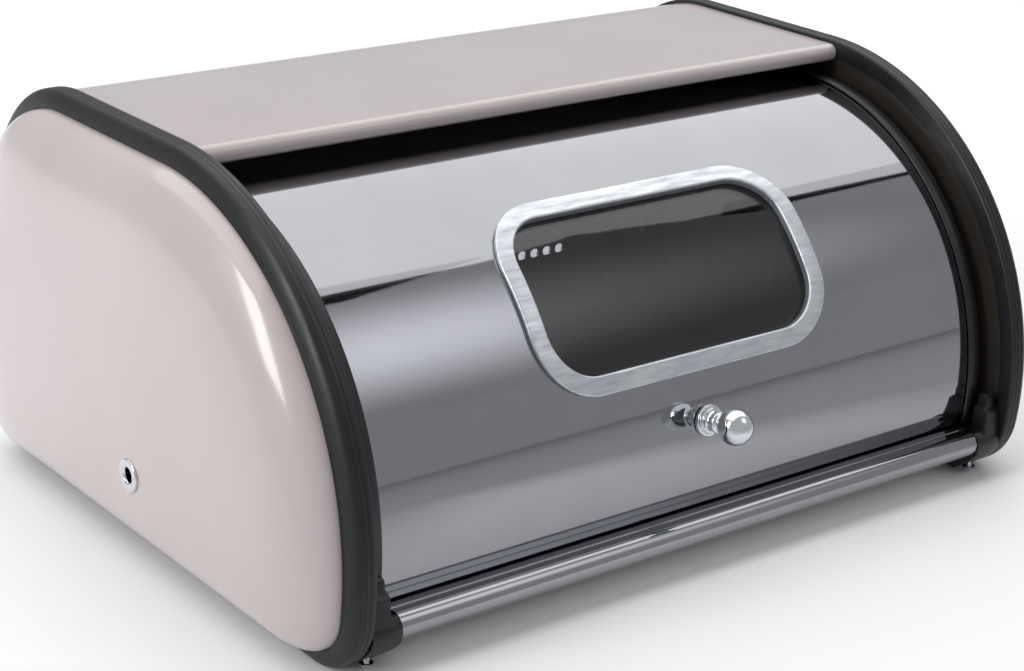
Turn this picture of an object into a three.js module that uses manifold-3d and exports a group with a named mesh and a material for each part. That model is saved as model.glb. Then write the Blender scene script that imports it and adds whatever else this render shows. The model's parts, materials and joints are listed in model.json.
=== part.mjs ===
import * as THREE from "three";
import { mergeVertices } from "three/addons/utils/BufferGeometryUtils.js";
import Module from "manifold-3d";

// Millimetres. +X is the bin's right-hand end, the lid faces -Y, +Z is up, and z = 0 is the table.

// Overall size of the bin, over the edge rings and the domed end caps.
const binWidth = 419;
const binDepth = 304;
const binHeight = 185;

// Side outline, seen along X: a flat base, an arched front, a flat top and rounded back corners.
const frontRadius = 140;
const frontBottomRadius = 31;
const backTopRadius = 74;
const backBottomRadius = 30;
const pivotY = -binDepth / 2 + frontRadius;
const pivotZ = binHeight - frontRadius;

// Gaps between pieces.
const touchGap = 0.3;
const runGap = 1.2;

// Black edge ring between the shell and each end cap. It is also the foot the bin stands on.
const ringWidth = 11.2;
const ringCrest = 8;
const ringDepth = 8;
const capBulge = 19.8;
const capFaceX = binWidth / 2 - 1.6;
const ringOuterX = binWidth / 2 - capBulge;
const ringInnerX = ringOuterX - ringWidth;

// Sheet metal.
const shellThick = 1.0;
const shellInset = 2;
const shellHalf = ringInnerX - touchGap;
const lipRadius = 4.2;
const lipForward = 5;
const lipY = pivotY - lipForward;
const capThick = 1.2;
const plateThick = 1.2;
const plateBand = 29;

// Row of round vent holes in the back wall.
const ventRadius = 2.7;
const ventPitch = 8.6;
const ventPerSide = 8;
const ventOuterX = 147;
const ventZ = backBottomRadius + 6;

// Front sill and the black blocks that close its ends.
const sillZ = 25;
const sillThick = 0.8;
const noseSetback = 4.5;
const noseY = -binDepth / 2 + noseSetback;
const noseRadius = 6;
const blockWidth = 14.2;
const blockInnerX = shellHalf - blockWidth;

// Lid: a sector of a cylinder that turns about the pivot axis. Its lower edge hangs just over the sill.
const lidDrop = 17;
const lidRadius = frontRadius - lidDrop;
const lidThick = 0.8;
const lidTopAngle = -7;
const lidSillGap = 1.4;
const lidBottomAngle = 90 + (Math.asin((pivotZ - sillZ - lidSillGap) / lidRadius) * 180) / Math.PI;
const lidHemHeight = 5;
const lidTrimWidth = 7;
const lidTrimThick = 1.1;
const lidTrimSkirt = 12;
const lidEndGap = 5.2;
const lidTrimX = shellHalf - lidEndGap;
const lidSideThick = 1.2;
const lidSideX = lidTrimX - lidTrimThick - touchGap;
const lidHalf = lidSideX - lidSideThick - touchGap;
const hubRadius = 17;

// Window in the lid, measured on the lid's outside.
const windowAngle = 49.9;
const windowHalfWidth = 81.5;
const windowHalfHeight = 44.5;
const windowCorner = 30;
const bezelWidth = 8.4;
const bezelHeight = 2.0;
const paneThick = 2.0;

// Knob on the lid.
const knobX = 2.5;
const knobAngle = 80.8;
const knobBallRadius = 7.9;
const knobBallHeight = 18;
const knobBaseRadius = 7;
const screwRadius = 1.9;

// Pivot: a long hollow eyelet through the cap's face.
const pivotRadius = 4.5;
const pivotRun = 0.06;
const eyeletBore = 3.3;
const eyeletFlange = 7.2;

const outlineSteps = { bottom: 2, corner: 6, front: 26, top: 1, back: 7, wall: 1 };
const deg = Math.PI / 180;

// Side outline drawn in by an inset, as [y, z] points. Every inset gives the same number of points.
function outline(inset, least = 6) {
  const h = outlineSteps;
  const big = frontRadius - inset;
  const r1 = Math.max(frontBottomRadius - inset, least);
  const r2 = Math.max(backTopRadius - inset, least);
  const r3 = Math.max(backBottomRadius - inset, least);
  const low = inset;
  const high = binHeight - inset;
  const rear = binDepth / 2 - inset;
  const cornerZ = low + r1;
  const rise = pivotZ - cornerZ;
  const cornerY = pivotY - Math.sqrt((big - r1) ** 2 - rise ** 2);
  const join = Math.atan2(cornerZ - pivotZ, cornerY - pivotY);
  const points = [];
  const line = (a, b, n) => {
    for (let i = 0; i < n; i += 1) {
      points.push([a[0] + ((b[0] - a[0]) * i) / n, a[1] + ((b[1] - a[1]) * i) / n]);
    }
  };
  const arc = (cy, cz, r, from, to, n) => {
    for (let i = 0; i < n; i += 1) {
      const a = from + ((to - from) * i) / n;
      points.push([cy + r * Math.cos(a), cz + r * Math.sin(a)]);
    }
  };
  line([rear - r3, low], [cornerY, low], h.bottom);
  arc(cornerY, cornerZ, r1, -Math.PI / 2, join < 0 ? join : join - 2 * Math.PI, h.corner);
  const start = join < 0 ? join : join - 2 * Math.PI;
  arc(pivotY, pivotZ, big, start, -1.5 * Math.PI, h.front);
  line([pivotY, high], [rear - r2, high], h.top);
  arc(rear - r2, high - r2, r2, Math.PI / 2, 0, h.back);
  line([rear, high - r2], [rear, low + r3], h.wall);
  arc(rear - r3, low + r3, r3, 0, -Math.PI / 2, h.back);
  return points;
}

// The nearly flat middle of a domed cap, with the outline's point count.
const faceFront = 58;
const faceTop = 44;
const faceBack = 42;
const faceBottom = 27;
function faceOutline(inset) {
  const rim = outline(ringDepth);
  const low = ringDepth + inset + faceBottom;
  const high = binHeight - ringDepth - inset - faceTop;
  const front = -binDepth / 2 + ringDepth + inset + faceFront;
  const rear = binDepth / 2 - ringDepth - inset - faceBack;
  const span = [binDepth - 2 * ringDepth, binHeight - 2 * ringDepth];
  return rim.map(([y, z]) => [
    front + ((y + binDepth / 2 - ringDepth) / span[0]) * (rear - front),
    low + ((z - ringDepth) / span[1]) * (high - low),
  ]);
}

// Closed surface through rows of points that all have the same count.
// Rows are loops. "ring" joins the last row to the first, otherwise both ends are capped by a fan.
function loft(rows, ring) {
  const count = rows[0].length;
  const positions = rows.flat(2);
  const index = [];
  const last = ring ? rows.length : rows.length - 1;
  for (let i = 0; i < last; i += 1) {
    const a = i * count;
    const b = ((i + 1) % rows.length) * count;
    for (let j = 0; j < count; j += 1) {
      const k = (j + 1) % count;
      index.push(a + j, a + k, b + j, a + k, b + k, b + j);
    }
  }
  if (!ring) {
    for (const end of [0, rows.length - 1]) {
      const middle = positions.length / 3;
      const sum = [0, 0, 0];
      rows[end].forEach((p) => p.forEach((v, axis) => (sum[axis] += v / count)));
      positions.push(...sum);
      for (let j = 0; j < count; j += 1) {
        const k = (j + 1) % count;
        const [p, q] = end === 0 ? [k, j] : [j, k];
        index.push(end * count + p, end * count + q, middle);
      }
    }
  }
  return facingOut(positions, index);
}

// Indexed geometry with its faces turned outwards.
function facingOut(positions, index) {
  let volume = 0;
  const v = (i) => new THREE.Vector3(...positions.slice(3 * i, 3 * i + 3));
  for (let i = 0; i < index.length; i += 3) {
    volume += v(index[i]).dot(v(index[i + 1]).cross(v(index[i + 2])));
  }
  if (volume < 0) {
    for (let i = 0; i < index.length; i += 3) {
      [index[i + 1], index[i + 2]] = [index[i + 2], index[i + 1]];
    }
  }
  const geometry = new THREE.BufferGeometry();
  geometry.setAttribute("position", new THREE.Float32BufferAttribute(positions, 3));
  geometry.setIndex(index);
  return geometry;
}

// A flat [y, z] shape, with holes if given, carried from x0 to x1.
function prism(points, x0, x1, holes = []) {
  const contour = points.map((p) => new THREE.Vector2(p[0], p[1]));
  if (THREE.ShapeUtils.isClockWise(contour)) {
    contour.reverse();
  }
  const inner = holes.map((hole) => {
    const loop = hole.map((p) => new THREE.Vector2(p[0], p[1]));
    if (!THREE.ShapeUtils.isClockWise(loop)) {
      loop.reverse();
    }
    return loop;
  });
  const faces = THREE.ShapeUtils.triangulateShape(contour, inner);
  const loops = [contour, ...inner];
  const flat = loops.flat();
  const count = flat.length;
  const positions = [];
  for (const x of [x0, x1]) {
    flat.forEach((p) => positions.push(x, p.x, p.y));
  }
  const index = [];
  faces.forEach(([a, b, c]) => {
    index.push(a, c, b);
    index.push(a + count, b + count, c + count);
  });
  let from = 0;
  loops.forEach((loop) => {
    loop.forEach((_, j) => {
      const a = from + j;
      const b = from + ((j + 1) % loop.length);
      index.push(a, b, b + count, a, b + count, a + count);
    });
    from += loop.length;
  });
  return facingOut(positions, index);
}

// A sheet of even thickness that follows an open [y, z] path. The path is its outer face.
function sheet(path, thick, x0, x1) {
  const inside = path.map((p, i) => {
    const a = path[Math.max(i - 1, 0)];
    const b = path[Math.min(i + 1, path.length - 1)];
    const length = Math.hypot(b[0] - a[0], b[1] - a[1]);
    return [p[0] - ((b[1] - a[1]) / length) * thick, p[1] + ((b[0] - a[0]) / length) * thick];
  });
  return prism([...path, ...inside.reverse()], x0, x1);
}

// A turned piece. The profile is [radius, height] pairs along the axis.
// It starts and ends on the axis, or closes on itself.
function turned(profile, origin, axis, segments = 48) {
  const up = new THREE.Vector3(...axis).normalize();
  const side = Math.abs(up.x) > 0.9 ? new THREE.Vector3(0, 1, 0) : new THREE.Vector3(1, 0, 0);
  const u = side.clone().cross(up).normalize();
  const w = up.clone().cross(u);
  const base = new THREE.Vector3(...origin);
  const onAxis = profile[0][0] === 0;
  const positions = [];
  const start = [];
  profile.forEach(([r, h]) => {
    start.push(positions.length / 3);
    const steps = r === 0 ? 1 : segments;
    for (let i = 0; i < steps; i += 1) {
      const a = (2 * Math.PI * i) / segments;
      const p = base.clone().addScaledVector(up, h);
      p.addScaledVector(u, r * Math.cos(a)).addScaledVector(w, r * Math.sin(a));
      positions.push(p.x, p.y, p.z);
    }
  });
  const index = [];
  const last = onAxis ? profile.length - 1 : profile.length;
  for (let i = 0; i < last; i += 1) {
    const n = (i + 1) % profile.length;
    const pole = profile[i][0] === 0;
    const nextPole = profile[n][0] === 0;
    for (let j = 0; j < segments; j += 1) {
      const k = (j + 1) % segments;
      const a = start[i] + (pole ? 0 : j);
      const b = start[i] + (pole ? 0 : k);
      const c = start[n] + (nextPole ? 0 : j);
      const d = start[n] + (nextPole ? 0 : k);
      if (!pole) {
        index.push(a, b, c);
      }
      if (!nextPole) {
        index.push(b, d, c);
      }
    }
  }
  return facingOut(positions, index);
}

const wasm = await Module();
wasm.setup();

function toSolid(geometry) {
  const merged = mergeVertices(geometry, 1e-4);
  return new wasm.Manifold(
    new wasm.Mesh({
      numProp: 3,
      vertProperties: new Float32Array(merged.attributes.position.array),
      triVerts: new Uint32Array(merged.index.array),
    }),
  );
}

// The first geometry with every tool taken out of it.
function cut(geometry, tools) {
  let solid = toSolid(geometry);
  tools.forEach((tool) => {
    solid = solid.subtract(toSolid(tool));
  });
  const mesh = solid.getMesh();
  const result = new THREE.BufferGeometry();
  const stride = mesh.numProp;
  const positions = [];
  for (let i = 0; i < mesh.vertProperties.length; i += stride) {
    positions.push(...mesh.vertProperties.slice(i, i + 3));
  }
  result.setAttribute("position", new THREE.Float32BufferAttribute(positions, 3));
  result.setIndex(Array.from(mesh.triVerts));
  return result;
}

// A point on the lid: across the bin, angle forward from straight up, and distance from the pivot.
function lidPoint(x, angle, radius) {
  const a = angle * deg;
  return [x, pivotY - radius * Math.sin(a), pivotZ + radius * Math.cos(a)];
}
function lidOut(angle) {
  return [0, -Math.sin(angle * deg), Math.cos(angle * deg)];
}

// The window's rounded outline drawn in by an inset, laid on the lid at a radius.
function windowLoop(inset, radius, perCorner = 7) {
  const w = windowHalfWidth - inset;
  const h = windowHalfHeight - inset;
  const r = windowCorner - inset;
  const points = [];
  const flat = (x0, y0, x1, y1, n) => {
    for (let i = 1; i < n; i += 1) {
      points.push([x0 + ((x1 - x0) * i) / n, y0 + ((y1 - y0) * i) / n]);
    }
  };
  const corners = [
    [w - r, h - r, 0],
    [-w + r, h - r, 90],
    [-w + r, -h + r, 180],
    [w - r, -h + r, 270],
  ];
  corners.forEach(([cx, cy, from], i) => {
    for (let j = 0; j <= perCorner; j += 1) {
      const a = (from + (90 * j) / perCorner) * deg;
      points.push([cx + r * Math.cos(a), cy + r * Math.sin(a)]);
    }
    const [nx, ny, nf] = corners[(i + 1) % 4];
    const a = (from + 90) * deg;
    const b = nf * deg;
    flat(
      cx + r * Math.cos(a), cy + r * Math.sin(a), nx + r * Math.cos(b), ny + r * Math.sin(b), 4,
    );
  });
  return points.map(([x, v]) => lidPoint(x, windowAngle - v / lidRadius / deg, radius));
}

// The origin is midway between the back of the bin and the front of the knob.
const frontReach =
  (lidRadius + knobBallHeight) * Math.sin(knobAngle * deg) + knobBallRadius - pivotY;
const root = new THREE.Group();
root.name = "bread_bin";
const bin = new THREE.Group();
bin.position.y = (frontReach - binDepth / 2) / 2;
root.add(bin);

function add(name, geometry, colour, roughness, metalness) {
  const material = new THREE.MeshStandardMaterial({ color: colour, roughness, metalness });
  material.name = name;
  const mesh = new THREE.Mesh(geometry, material);
  mesh.name = name;
  bin.add(mesh);
}

const taupe = "#bcb0b0";
const black = "#26272b";
const steel = "#b9bcc2";
const chrome = "#d4d6da";

// Body shell: one painted sheet from the rolled front lip, over the top and down the back.
const shellFull = outline(shellInset);
const topStart = outlineSteps.bottom + outlineSteps.corner + outlineSteps.front;
const lipZ = binHeight - shellInset - lipRadius;
const shellPath = [];
for (let i = 0; i <= 15; i += 1) {
  const a = (345 - (255 * i) / 15) * deg;
  shellPath.push([lipY + lipRadius * Math.cos(a), lipZ + lipRadius * Math.sin(a)]);
}
shellPath.push(...shellFull.slice(topStart));
shellPath.push(shellFull[0]);
shellPath.push([binDepth / 2 - backBottomRadius - 40, shellInset]);
const vents = [];
for (const side of [-1, 1]) {
  for (let i = 0; i < ventPerSide; i += 1) {
    const x = side * (ventOuterX - i * ventPitch);
    const back = binDepth / 2 - shellInset;
    vents.push(
      turned([[0, -4], [ventRadius, -4], [ventRadius, 4], [0, 4]], [x, back, ventZ], [0, 1, 0], 20),
    );
  }
}
const shellSolid = sheet(shellPath, -shellThick, -shellHalf, shellHalf);
add("body_shell", cut(shellSolid, vents), taupe, 0.32, 0.15);

// Base pan: a plate on the shell's lower edge, turned up at the front as a sloping apron and a shelf.
const panZ = shellInset + shellThick + touchGap;
const shelfZ = sillZ - sillThick - touchGap;
const apronY = noseY + 8.2;
const panPath = [
  [binDepth / 2 - backBottomRadius - 30, panZ],
  [apronY + 20, panZ],
  [apronY + 15, panZ + 0.6],
  [apronY + 11, panZ + 2.4],
  [apronY + 2.6, panZ + 8.2],
  [apronY + 0.7, panZ + 9.8],
  [apronY, panZ + 11.8],
  [apronY, shelfZ - 1],
  [apronY + 0.6, shelfZ],
  [apronY + 16, shelfZ],
];
const pan = sheet(panPath, -shellThick, -shellHalf, shellHalf);
const trimInside = lidRadius + touchGap;
const lidFootY = pivotY - trimInside * Math.sin(lidBottomAngle * deg);
const bufferSetback = 4;
const bufferMargin = 3;
const blockBackY = lidFootY + bufferSetback + bufferMargin;
const blockRoom = [-1, 1].map((side) =>
  prism(
    [
      [-binDepth, -sillZ], [blockBackY + touchGap, -sillZ],
      [blockBackY + touchGap, pivotZ], [-binDepth, pivotZ],
    ],
    side * (blockInnerX - touchGap), side * (shellHalf + 5),
  ),
);
add("base_pan", cut(pan, blockRoom), "#cfc6c5", 0.35, 0.1);

// Front sill: a polished strip on the shelf, rolled over the front edge.
const noseZ = sillZ - 0.2 - noseRadius;
const sillPath = [];
for (let i = 0; i <= 16; i += 1) {
  const a = (285 - (190 * i) / 16) * deg;
  sillPath.push([noseY + noseRadius * (1 + Math.cos(a)), noseZ + noseRadius * Math.sin(a)]);
}
sillPath.push([noseY + 7.2, sillZ - 0.5]);
sillPath.push([noseY + 8.0, sillZ - 0.1]);
sillPath.push([noseY + 9.0, sillZ]);
sillPath.push([apronY + 22, sillZ]);
add("front_sill", sheet(sillPath, -sillThick, -blockInnerX + touchGap, blockInnerX - touchGap),
  steel, 0.06, 1.0);

// Domed end caps, the flanges inside them, and the black edge rings.
const capRise = [0, 0.035, 0.09, 0.17, 0.28, 0.42, 0.6, 0.8, 1];
function capRow(x, drop, share, lessX) {
  const rim = outline(ringDepth + touchGap + drop);
  const face = faceOutline(drop * 0.6);
  return rim.map(([y, z], i) => [
    x - lessX,
    y + (face[i][0] - y) * share,
    z + (face[i][1] - z) * share,
  ]);
}
function capRows(drop, lessX) {
  const high = capFaceX - ringOuterX;
  return capRise.map((share) => {
    const x = ringOuterX + high * Math.pow(1 - Math.pow(1 - share, 2.3), 1 / 2.1);
    return capRow(x, drop, share, lessX);
  });
}
const plateX = ringInnerX + touchGap;
const capRimX = plateX + plateThick + touchGap;
function endCap(side) {
  const rows = [
    ...capRows(capThick, capThick).reverse(),
    capRow(capRimX, capThick, 0, 0),
    capRow(capRimX, 0, 0, 0),
    ...capRows(0, 0),
  ];
  const turnedRows = rows.map((row) => row.map(([x, y, z]) => [side * x, y, z]));
  const bore = turned(
    [[0, -20], [pivotRadius + touchGap, -20], [pivotRadius + touchGap, 10], [0, 10]],
    [side * capFaceX, pivotY, pivotZ], [side, 0, 0], 32,
  );
  return cut(loft(turnedRows, false), [bore]);
}
function endPlate(side) {
  const outer = outline(ringDepth + touchGap);
  const inner = outline(ringDepth + plateBand, 9);
  return prism(outer, side * plateX, side * (plateX + plateThick), [inner]);
}
const ringSection = [
  [0, ringDepth], [0, 1.4], [0.4, 0.4], [1.4, 0], [3.2, 0], [3.7, 0.45], [4.2, 0],
  [ringCrest - 1.4, 0], [ringCrest - 0.4, 0.5], [ringCrest + 0.9, 2],
  [ringWidth - 1, ringDepth * 0.55], [ringWidth - 0.2, ringDepth * 0.8], [ringWidth, ringDepth],
];
function edgeRing(side) {
  const rows = ringSection.map(([across, inset]) =>
    outline(inset).map(([y, z]) => [side * (ringInnerX + across), y, z]),
  );
  return loft(rows, true);
}

// Corner blocks: each closes one end of the sill and carries a stop tab.
const seatZ = sillZ - 1.2;
const stopBackY = noseY + 9.5;
const stopWidth = 9;
const blockLow = [
  [blockBackY, panZ],
  [blockBackY, seatZ],
  [noseY + 7.5, seatZ],
  [noseY + 2.6, sillZ - 0.2],
  [noseY - 0.2, sillZ - 3],
  [noseY - 0.9, sillZ - 7],
  [noseY + 0.4, sillZ - 11],
  [noseY + 4.6, sillZ - 15.5],
  [noseY + 13, panZ],
];
const blockHigh = [
  [stopBackY, sillZ - 3],
  [stopBackY, sillZ + 9.6],
  [stopBackY - 1.6, sillZ + 11.4],
  [noseY + 3.4, sillZ + 11.4],
  [noseY + 0.8, sillZ + 9],
  [noseY + 0.2, sillZ - 3],
];
const blockTab = [
  [noseY + 2.6, sillZ + 6],
  [noseY + 2.6, sillZ + 15],
  [noseY + 3.6, sillZ + 16.8],
  [noseY + 5.6, sillZ + 17.5],
  [noseY + 7.6, sillZ + 16.8],
  [noseY + 8.6, sillZ + 15],
  [noseY + 8.6, sillZ + 6],
];
const blockScrewY = blockBackY - 9;
const blockScrewX = blockInnerX + 9;
function cornerBlock(side) {
  const x1 = side * shellHalf;
  const low = prism(blockLow, side * blockInnerX, x1);
  const high = prism(blockHigh, side * (shellHalf - stopWidth), x1);
  const tab = prism(blockTab, side * (shellHalf - 7.6), side * (shellHalf - 2.4));
  const hole = turned([[0, -9], [1.8, -9], [1.8, 9.5], [0, 9.5]],
    [side * blockScrewX, blockScrewY, panZ], [0, 0, 1], 20);
  const solid = toSolid(low).add(toSolid(high)).add(toSolid(tab)).subtract(toSolid(hole));
  return fromSolid(solid);
}

// Lid pieces.
function sweepLid(section, from, to, steps) {
  const contour = section.map((p) => new THREE.Vector2(p[0], p[1]));
  const faces = THREE.ShapeUtils.triangulateShape(contour, []);
  const count = section.length;
  const positions = [];
  const index = [];
  for (let i = 0; i <= steps; i += 1) {
    const angle = from + ((to - from) * i) / steps;
    section.forEach(([x, radius]) => positions.push(...lidPoint(x, angle, radius)));
  }
  for (let i = 0; i < steps; i += 1) {
    for (let j = 0; j < count; j += 1) {
      const k = (j + 1) % count;
      const a = i * count;
      const b = a + count;
      index.push(a + j, a + k, b + j, a + k, b + k, b + j);
    }
  }
  const clockwise = THREE.ShapeUtils.isClockWise(contour);
  const end = steps * count;
  faces.forEach((face) => {
    const [p, q, r] = clockwise ? [face[0], face[2], face[1]] : face;
    index.push(p, r, q);
    index.push(end + p, end + q, end + r);
  });
  return facingOut(positions, index);
}
const lidSteps = 36;
const throughLow = lidRadius - 18;
const throughHigh = lidRadius + 24;
const windowHole = loft([windowLoop(7, throughLow), windowLoop(7, throughHigh)], false);
const screwTool = turned(
  [[0, -12], [screwRadius + touchGap, -12], [screwRadius + touchGap, 6], [0, 6]],
  lidPoint(knobX, knobAngle, lidRadius), lidOut(knobAngle), 24,
);
const hemAngle = lidHemHeight / lidRadius / deg;
const flangeInX = lidHalf - 8.5;
const hemHalf = flangeInX - 1;
function lidPanel() {
  const inner = lidRadius - lidThick;
  const panel = sweepLid(
    [[-lidHalf, inner], [lidHalf, inner], [lidHalf, lidRadius], [-lidHalf, lidRadius]],
    lidTopAngle, lidBottomAngle, lidSteps,
  );
  const hem = sweepLid(
    [[-hemHalf, inner - 1], [hemHalf, inner - 1], [hemHalf, inner + 0.4], [-hemHalf, inner + 0.4]],
    lidBottomAngle - hemAngle, lidBottomAngle, 3,
  );
  const solid = toSolid(panel).add(toSolid(hem));
  return fromSolid(solid.subtract(toSolid(windowHole)).subtract(toSolid(screwTool)));
}
function lidTrim(side) {
  const inner = lidTrimX - lidTrimWidth;
  const top = trimInside + lidTrimThick;
  const section = [
    [inner, trimInside], [inner, top - 0.4], [inner + 0.5, top], [lidTrimX - 0.6, top],
    [lidTrimX, top - 0.6], [lidTrimX, top - lidTrimSkirt],
    [lidTrimX - lidTrimThick, top - lidTrimSkirt], [lidTrimX - lidTrimThick, trimInside],
  ].map(([x, r]) => [side * x, r]);
  return sweepLid(section, lidTopAngle, lidBottomAngle, lidSteps);
}
const lidFootZ = pivotZ + (trimInside + lidTrimThick) * Math.cos(lidBottomAngle * deg);
const bufferTall = lidFootZ - touchGap - (seatZ + touchGap);
const bushOuter = 6.2;
function arcPoints(radius, from, to, steps) {
  const points = [];
  for (let i = 0; i <= steps; i += 1) {
    points.push(lidPoint(0, from + ((to - from) * i) / steps, radius).slice(1));
  }
  return points;
}
function lidSide(side) {
  const rim = lidRadius - 0.1;
  const outer = [
    ...arcPoints(rim, lidTopAngle + 1, lidBottomAngle - 1, 40),
    ...arcPoints(hubRadius, lidBottomAngle + 76, lidTopAngle + 284, 14),
  ];
  const opening = [...arcPoints(rim - 15, 3, 86, 30), ...arcPoints(34, 68, 21, 8)];
  const bore = arcPoints(bushOuter + touchGap, 0, 352.5, 47);
  const plate = prism(outer, side * (lidSideX - lidSideThick), side * lidSideX, [opening, bore]);
  const inner = lidRadius - lidThick - touchGap;
  const flange = sweepLid(
    [[flangeInX, inner - 0.9], [lidSideX - 0.2, inner - 0.9], [lidSideX - 0.2, inner], [flangeInX, inner]]
      .map(([x, r]) => [side * x, r]),
    6, 84, 30,
  );
  return fromSolid(toSolid(plate).add(toSolid(flange)));
}

// Window: raised bezel outside, smoked pane, and a frame inside that holds the pane.
const bezelBase = lidRadius + touchGap;
const bezelTop = bezelBase + bezelHeight;
const bezelSection = [
  [0, bezelBase], [0, bezelBase + 0.8], [0.9, bezelTop - 0.2], [2, bezelTop], [6.4, bezelTop],
  [8, bezelTop - 0.5], [bezelWidth, bezelTop - 1.2], [bezelWidth, lidRadius - 1.3],
  [7 + touchGap, lidRadius - 1.3], [7 + touchGap, bezelBase],
];
const bezel = loft(bezelSection.map(([inset, radius]) => windowLoop(inset, radius)), true);
const paneTop = lidRadius - 1.3 - touchGap;
function windowPane() {
  const reach = windowHalfHeight / lidRadius / deg + 9;
  const slab = sweepLid(
    [
      [-windowHalfWidth - 8, paneTop - paneThick], [windowHalfWidth + 8, paneTop - paneThick],
      [windowHalfWidth + 8, paneTop], [-windowHalfWidth - 8, paneTop],
    ],
    windowAngle - reach, windowAngle + reach, 24,
  );
  const shape = loft([windowLoop(6, throughLow), windowLoop(6, throughHigh)], false);
  return fromSolid(toSolid(slab).intersect(toSolid(shape)));
}
const frameTop = lidRadius - lidThick - touchGap;
const frameLow = paneTop - paneThick - touchGap - 1.6;
const screwEdge = 3.3;
const screwSideX = windowHalfWidth - screwEdge;
const screwRowX = windowHalfWidth * 0.4;
const frameScrews = [
  [-screwSideX, 0], [screwSideX, 0],
  [-screwRowX, 1], [screwRowX, 1], [-screwRowX, -1], [screwRowX, -1],
].map(([x, up]) => [x, windowAngle - (up * (windowHalfHeight - screwEdge)) / lidRadius / deg]);
function windowFrame() {
  const section = [
    [1, frameTop], [5.7, frameTop], [5.7, frameLow + 1.6], [9.6, frameLow + 1.6],
    [9.6, frameLow], [1, frameLow],
  ];
  const body = loft(section.map(([inset, radius]) => windowLoop(inset, radius)), true);
  const holes = frameScrews.map(([x, angle]) =>
    turned([[0, -10], [1.1, -10], [1.1, 3.4], [0, 3.4]], lidPoint(x, angle, frameLow),
      lidOut(angle), 16),
  );
  return cut(body, holes);
}
function frameScrew([x, angle]) {
  return turned(
    [[0, -2.0], [1.4, -1.9], [2.2, -1.2], [2.2, -touchGap], [0.8, -touchGap], [0.8, 2.9], [0, 3.1]],
    lidPoint(x, angle, frameLow), lidOut(angle), 14,
  );
}

// Knob: a stepped foot, a short waist, a collar and a ball, with its screw and washer inside the lid.
const knobBore = screwRadius + 0.2;
const knobScrewDeep = 8;
const knobProfile = [
  [0, knobScrewDeep + 0.8], [knobBore, knobScrewDeep + 0.4], [knobBore, touchGap], [6.4, touchGap],
  [knobBaseRadius, 0.9], [knobBaseRadius, 1.8], [6.4, 2.5], [5.4, 2.7], [5.2, 3.4], [4.4, 3.9],
  [3.6, 5.2], [3.5, 7.2], [4.4, 7.8], [4.7, 8.7], [4.4, 9.6], [3.6, 10.4],
];
for (let i = 1; i <= 11; i += 1) {
  const a = (-62 + (152 * i) / 11) * deg;
  const r = i === 11 ? 0 : knobBallRadius * Math.cos(a);
  knobProfile.push([r, knobBallHeight + knobBallRadius * Math.sin(a)]);
}
const knobSeat = lidPoint(knobX, knobAngle, lidRadius);
const innerFace = -lidThick - touchGap;
add("lid_panel", lidPanel(), steel, 0.05, 1.0);
add("window_bezel", bezel, "#cfd2d6", 0.32, 0.9);
add("window_pane", windowPane(), "#2a2a2f", 0.05, 0.0);
add("window_frame", windowFrame(), "#2b2c30", 0.5, 0.0);
frameScrews.forEach((at, i) => add(`frame_screw_${i + 1}`, frameScrew(at), steel, 0.3, 1.0));
add("knob", turned(knobProfile, knobSeat, lidOut(knobAngle), 28), chrome, 0.04, 1.0);
add("knob_washer", turned(
  [[screwRadius + touchGap, innerFace - 1], [6, innerFace - 1], [6, innerFace],
    [screwRadius + touchGap, innerFace]],
  knobSeat, lidOut(knobAngle), 32), steel, 0.3, 1.0);
add("knob_screw", turned(
  [[0, innerFace - 3.9], [2.6, innerFace - 3.7], [3.8, innerFace - 2.6],
    [3.9, innerFace - 1 - touchGap], [screwRadius, innerFace - 1 - touchGap],
    [screwRadius, knobScrewDeep - 0.6], [0, knobScrewDeep]],
  knobSeat, lidOut(knobAngle), 24), steel, 0.3, 1.0);

function fromSolid(solid) {
  const mesh = solid.getMesh();
  const result = new THREE.BufferGeometry();
  const positions = [];
  for (let i = 0; i < mesh.vertProperties.length; i += mesh.numProp) {
    positions.push(...mesh.vertProperties.slice(i, i + 3));
  }
  result.setAttribute("position", new THREE.Float32BufferAttribute(positions, 3));
  result.setIndex(Array.from(mesh.triVerts));
  return result;
}

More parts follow.
